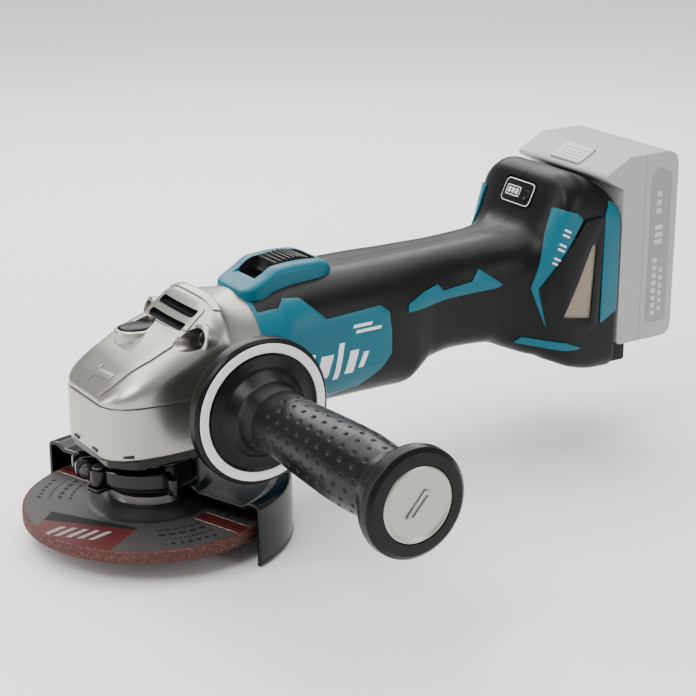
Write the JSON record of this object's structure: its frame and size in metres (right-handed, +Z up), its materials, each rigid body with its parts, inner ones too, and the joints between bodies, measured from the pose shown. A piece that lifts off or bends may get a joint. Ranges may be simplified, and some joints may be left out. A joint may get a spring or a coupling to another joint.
{
  "type": "cordless angle grinder",
  "caption": "Cordless angle grinder with a side handle, half guard over the wheel, top slide switch and a slide-on battery pack at the back.",
  "frame": {"origin": "on the spindle axis, in the plane of the wheel's grinding face", "axes": "+X back along the tool to the battery, +Z up along the spindle, side handle towards -Y"},
  "size_m": [0.3645, 0.261, 0.1615],
  "materials": {
    "gear_head": "painted satin silver casting",
    "steel": "machined",
    "dark_steel": "blackened",
    "copper": "enamelled copper wire",
    "brass": "bright contact",
    "teal_plastic": "fine texture",
    "black_plastic": "fine texture",
    "black_rubber": "soft grip",
    "mesh_plastic": "woven mesh",
    "panel_plastic": "gloss",
    "light_lens": "milky lens",
    "guard_black": "glossy black coating",
    "abrasive": "bonded grain",
    "battery_grey": "fine texture",
    "cell": "wrapped can",
    "board": "coated board",
    "white_plastic": "smooth"
  },
  "bodies": {
    "tool_body": {"gear_housing": "gear_head", "gear_housing_screws": "dark_steel", "bearing_box": "guard_black", "bearing_box_screws": "dark_steel", "bearing_retainer": "steel", "lower_spindle_bearing": "steel", "upper_spindle_bearing": "steel", "motor_bearings": "steel", "fan_baffle": "black_plastic", "stator_core": "dark_steel", "stator_coils": "copper", "sensor_board": "board", "motor_leads": "copper", "motor_housing": "teal_plastic", "motor_overmould": "black_rubber", "switch_surround": "teal_plastic", "switch_unit": "black_plastic", "handle_shell_left": "black_plastic", "handle_shell_right": "black_plastic", "handle_screws": "dark_steel", "accent_strips": "teal_plastic", "rear_trims": "teal_plastic", "dust_covers": "black_plastic", "dust_meshes": "mesh_plastic", "indicator_panel": "panel_plastic", "indicator_lights": "light_lens", "controller": "black_plastic", "terminal_block": "black_plastic", "terminal_blades": "brass"},
    "spindle_unit": {"spindle": "steel", "gear_retaining_ring": "dark_steel", "crown_gear": "steel", "inner_flange": "steel", "grinding_wheel": "abrasive", "lock_nut": "dark_steel"},
    "rotor": {"rotor_shaft": "steel", "pinion_gear": "steel", "cooling_fan": "black_plastic", "rotor_core": "dark_steel"},
    "switch_slide": {"switch_knob": "black_plastic", "switch_link": "black_plastic"},
    "shaft_lock": {"lock_button": "black_plastic", "lock_pin": "steel", "lock_spring": "steel"},
    "charge_check": {"check_button": "black_plastic"},
    "guard": {"guard_shell": "guard_black", "guard_band": "guard_black", "guard_clamp_screw": "dark_steel", "lever_pin": "dark_steel"},
    "guard_lever": {"clamp_lever": "guard_black"},
    "handle_carrier": {"handle_washer": "steel"},
    "side_handle": {"handle_stud": "steel", "side_grip": "black_rubber", "grip_ring": "white_plastic", "grip_end_cap": "gear_head"},
    "battery": {"battery_front_case": "battery_grey", "battery_rear_case": "battery_grey", "battery_cells": "cell"},
    "battery_release": {"battery_button": "battery_grey"}
  },
  "joints": [
    {"name": "wheel_spin", "type": "hinge", "parent": "tool_body", "child": "spindle_unit", "pos_m": [0, 0, 0], "axis": [0, 0, 1], "continuous": true},
    {"name": "motor_spin", "type": "hinge", "parent": "tool_body", "child": "rotor", "pos_m": [0.05, 0, 0.073], "axis": [1, 0, 0], "continuous": true},
    {"name": "switch_travel", "type": "slide", "parent": "tool_body", "child": "switch_slide", "axis": [-1, 0, 0], "range_m": [0, 0.006]},
    {"name": "lock_press", "type": "slide", "parent": "tool_body", "child": "shaft_lock", "axis": [0, 0, -1], "range_m": [0, 0.004], "stiffness_N_per_m": 1500, "springref_m": -0.001, "deforming": ["lock_spring"]},
    {"name": "check_press", "type": "slide", "parent": "tool_body", "child": "charge_check", "axis": [0.9021, 0, -0.4315], "range_m": [0, 0.0008], "stiffness_N_per_m": 800, "springref_m": -0.0005},
    {"name": "guard_turn", "type": "hinge", "parent": "tool_body", "child": "guard", "pos_m": [0, 0, 0.027], "axis": [0, 0, 1], "range_deg": [-60, 90]},
    {"name": "lever_open", "type": "hinge", "parent": "guard", "child": "guard_lever", "pos_m": [-0.03032, -0.00645, 0.027], "axis": [0, 0, -1], "range_deg": [0, 80]},
    {"name": "handle_travel", "type": "slide", "parent": "tool_body", "child": "handle_carrier", "axis": [0, -1, 0], "range_m": [0, 0.02]},
    {"name": "handle_turn", "type": "hinge", "parent": "handle_carrier", "child": "side_handle", "pos_m": [0.0267, -0.06, 0.067], "axis": [0, -1, 0], "range_deg": [0, 5760]},
    {"name": "battery_slide", "type": "slide", "parent": "tool_body", "child": "battery", "axis": [0, 0, 1], "range_m": [0, 0.1]},
    {"name": "battery_release_press", "type": "slide", "parent": "battery", "child": "battery_release", "axis": [0.4668, 0, -0.8844], "range_m": [0, 0.002], "stiffness_N_per_m": 1200, "springref_m": -0.001}
  ],
  "couplings": [
    {"joint": "motor_spin", "follows": "wheel_spin", "ratio": 3.3636},
    {"joint": "handle_travel", "follows": "handle_turn", "m_per_rad": 0.00019894}
  ]
}
